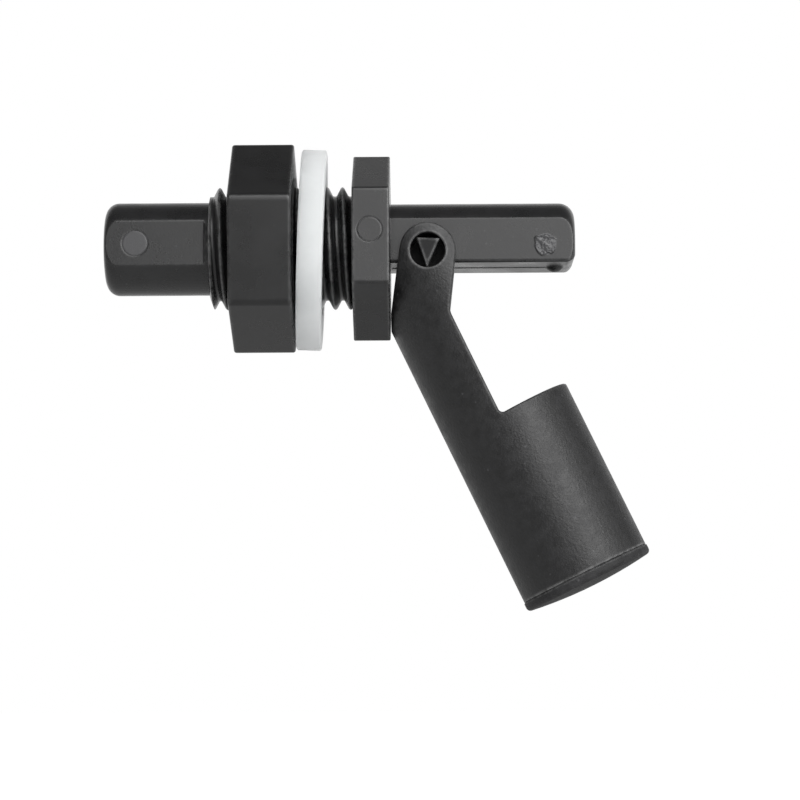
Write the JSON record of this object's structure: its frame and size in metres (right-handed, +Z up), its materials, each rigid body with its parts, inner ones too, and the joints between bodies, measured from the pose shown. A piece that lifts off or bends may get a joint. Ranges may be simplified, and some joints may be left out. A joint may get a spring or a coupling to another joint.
{
  "type": "side-mounted level sensor",
  "caption": "Horizontal float switch: threaded body with hex flange, locknut and seal, and a hollow float on a forked arm hinged to a reed stem.",
  "frame": {"origin": "centre of the hex flange's sealing face, on the thread's axis", "axes": "+X along the thread toward the stem's tip, +Z up with the float hanging toward -Z, Y across"},
  "size_m": [0.0702, 0.0262, 0.0607],
  "materials": {
    "housing_plastic": "moulded black polypropylene, satin",
    "nut_plastic": "moulded black polypropylene, satin",
    "washer_silicone": "translucent white silicone",
    "float_plastic": "moulded black polypropylene, fine eroded texture",
    "cap_plastic": "moulded black polypropylene, satin",
    "magnet_nickel": "nickel plated",
    "reed_glass": "clear greenish glass",
    "reed_metal": "tinned nickel-iron",
    "sleeve_plastic": "black shrink sleeve",
    "joint_metal": "tinned brass",
    "wire_copper": "bare copper",
    "wire_cover": "black wire insulation",
    "potting": "black potting resin"
  },
  "bodies": {
    "housing": {"housing": "housing_plastic", "potting_compound": "potting", "reed_glass": "reed_glass", "reed_blade_front": "reed_metal", "reed_blade_rear": "reed_metal", "reed_sleeve": "sleeve_plastic", "joint_front": "joint_metal", "joint_rear": "joint_metal", "joint_sleeve_front": "sleeve_plastic", "joint_sleeve_rear": "sleeve_plastic", "wire_core_front": "wire_copper", "wire_core_rear": "wire_copper", "wire_cover_front": "wire_cover", "wire_cover_rear": "wire_cover"},
    "washer": {"sealing_washer": "washer_silicone"},
    "nut": {"mounting_nut": "nut_plastic"},
    "float": {"float_shell": "float_plastic", "float_cap": "cap_plastic", "float_magnet": "magnet_nickel", "magnet_plug": "float_plastic"}
  },
  "joints": [
    {"name": "float_pivot", "type": "hinge", "parent": "housing", "child": "float", "pos_m": [0.00965, 0, -0.00157], "axis": [0, -1, 0], "range_deg": [0, 61.3]},
    {"name": "washer_slide", "type": "slide", "parent": "housing", "child": "washer", "axis": [1, 0, 0], "range_m": [-0.01101, 0.00321]},
    {"name": "nut_spin", "type": "hinge", "parent": "washer", "child": "nut", "pos_m": [-0.0115, 0, 0], "axis": [1, 0, 0], "range_deg": [-1980, 576]}
  ],
  "couplings": [
    {"joint": "washer_slide", "follows": "nut_spin", "m_per_rad": 0.00031831}
  ]
}
